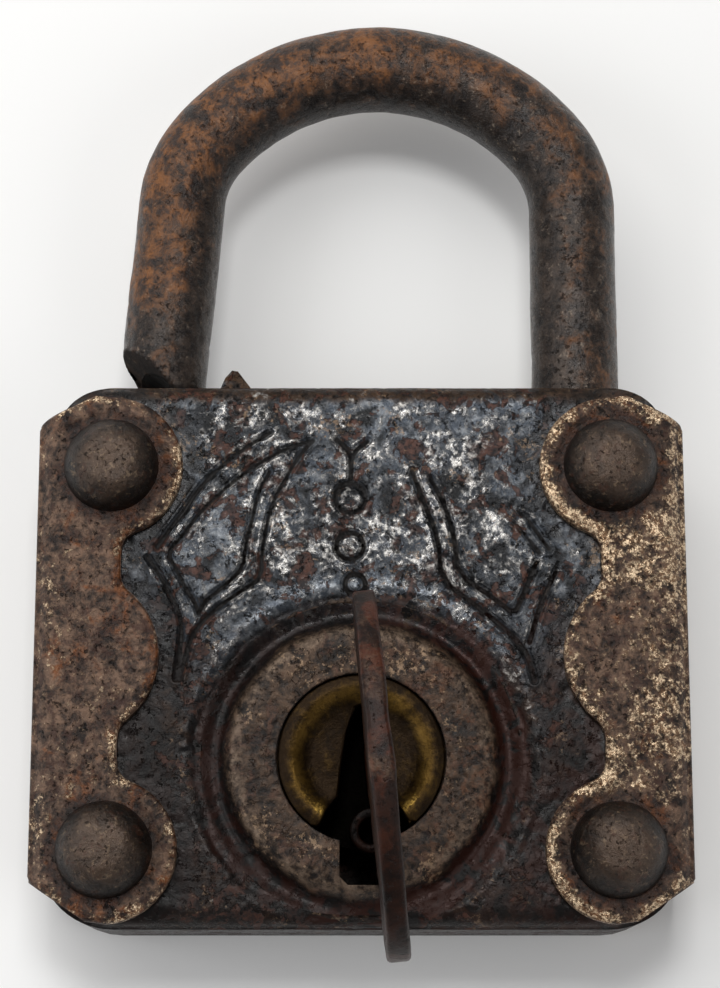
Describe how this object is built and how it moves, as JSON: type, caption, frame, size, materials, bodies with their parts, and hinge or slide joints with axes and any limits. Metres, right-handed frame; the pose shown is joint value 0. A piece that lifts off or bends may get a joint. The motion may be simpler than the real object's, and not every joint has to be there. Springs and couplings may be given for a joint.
{
  "type": "rusty padlock",
  "caption": "Riveted pressed-steel padlock with side straps, a raised boss round a brass key drum, a steel shackle standing open and an oval-bowed key in the lock.",
  "frame": {"origin": "midway between the four rivets, on the outer face of the back plate", "axes": "+X across the case towards the shackle's heel, +Y along the case towards the shackle's crown, +Z out of the front face"},
  "size_m": [0.065, 0.0999, 0.0485],
  "materials": {
    "case_steel": "blackened pressed sheet, worn and pitted with rust",
    "strap_steel": "brown rusted sheet with bare tan speckle",
    "rivet_steel": "dark brown, smoothed by handling",
    "shackle_steel": "dark bar with an orange-brown rust film",
    "inner_steel": "dull, lightly rusted",
    "drum_brass": "tarnished olive with bright nicks",
    "key_steel": "brown rusted plate, worn pale on its edge"
  },
  "bodies": {
    "case": {"front_case": "case_steel", "back_plate": "case_steel", "left_strap": "strap_steel", "right_strap": "strap_steel", "front_rivet_top_left": "rivet_steel", "front_rivet_top_right": "rivet_steel", "front_rivet_bottom_left": "rivet_steel", "front_rivet_bottom_right": "rivet_steel", "back_rivet_top_left": "rivet_steel", "back_rivet_top_right": "rivet_steel", "back_rivet_bottom_left": "rivet_steel", "back_rivet_bottom_right": "rivet_steel", "heel_sleeve": "inner_steel", "heel_pin": "inner_steel", "toe_guide": "inner_steel", "bolt_guide_left": "inner_steel", "bolt_guide_right": "inner_steel", "bolt_leaf": "inner_steel", "drum_bush": "drum_brass", "ward_ring": "inner_steel", "shackle_spring": "inner_steel"},
    "heel_carrier": {"spring_cap": "inner_steel"},
    "shackle_bar": {"shackle": "shackle_steel"},
    "bolt_plate": {"bolt": "inner_steel"},
    "drum_and_key": {"drum": "drum_brass", "crank_pin": "inner_steel", "key": "key_steel"}
  },
  "joints": [
    {"name": "shackle_slide", "type": "slide", "parent": "case", "child": "heel_carrier", "axis": [0, 1, 0], "range_m": [-0.01, 0], "stiffness_N_per_m": 300, "springref_m": 0.01, "deforming": ["shackle_spring"]},
    {"name": "shackle_swing", "type": "hinge", "parent": "heel_carrier", "child": "shackle_bar", "pos_m": [0.0223, 0, 0.007], "axis": [0, 1, 0], "range_deg": [-180, 180]},
    {"name": "key_turn", "type": "hinge", "parent": "case", "child": "drum_and_key", "pos_m": [0, -0.0102, 0], "axis": [0, 0, 1], "range_deg": [0, 60]},
    {"name": "bolt_throw", "type": "slide", "parent": "case", "child": "bolt_plate", "axis": [1, 0, 0], "range_m": [-0.0056, 0.0001]}
  ],
  "couplings": [
    {"joint": "bolt_throw", "follows": "key_turn", "m_per_rad": -0.0052521}
  ]
}
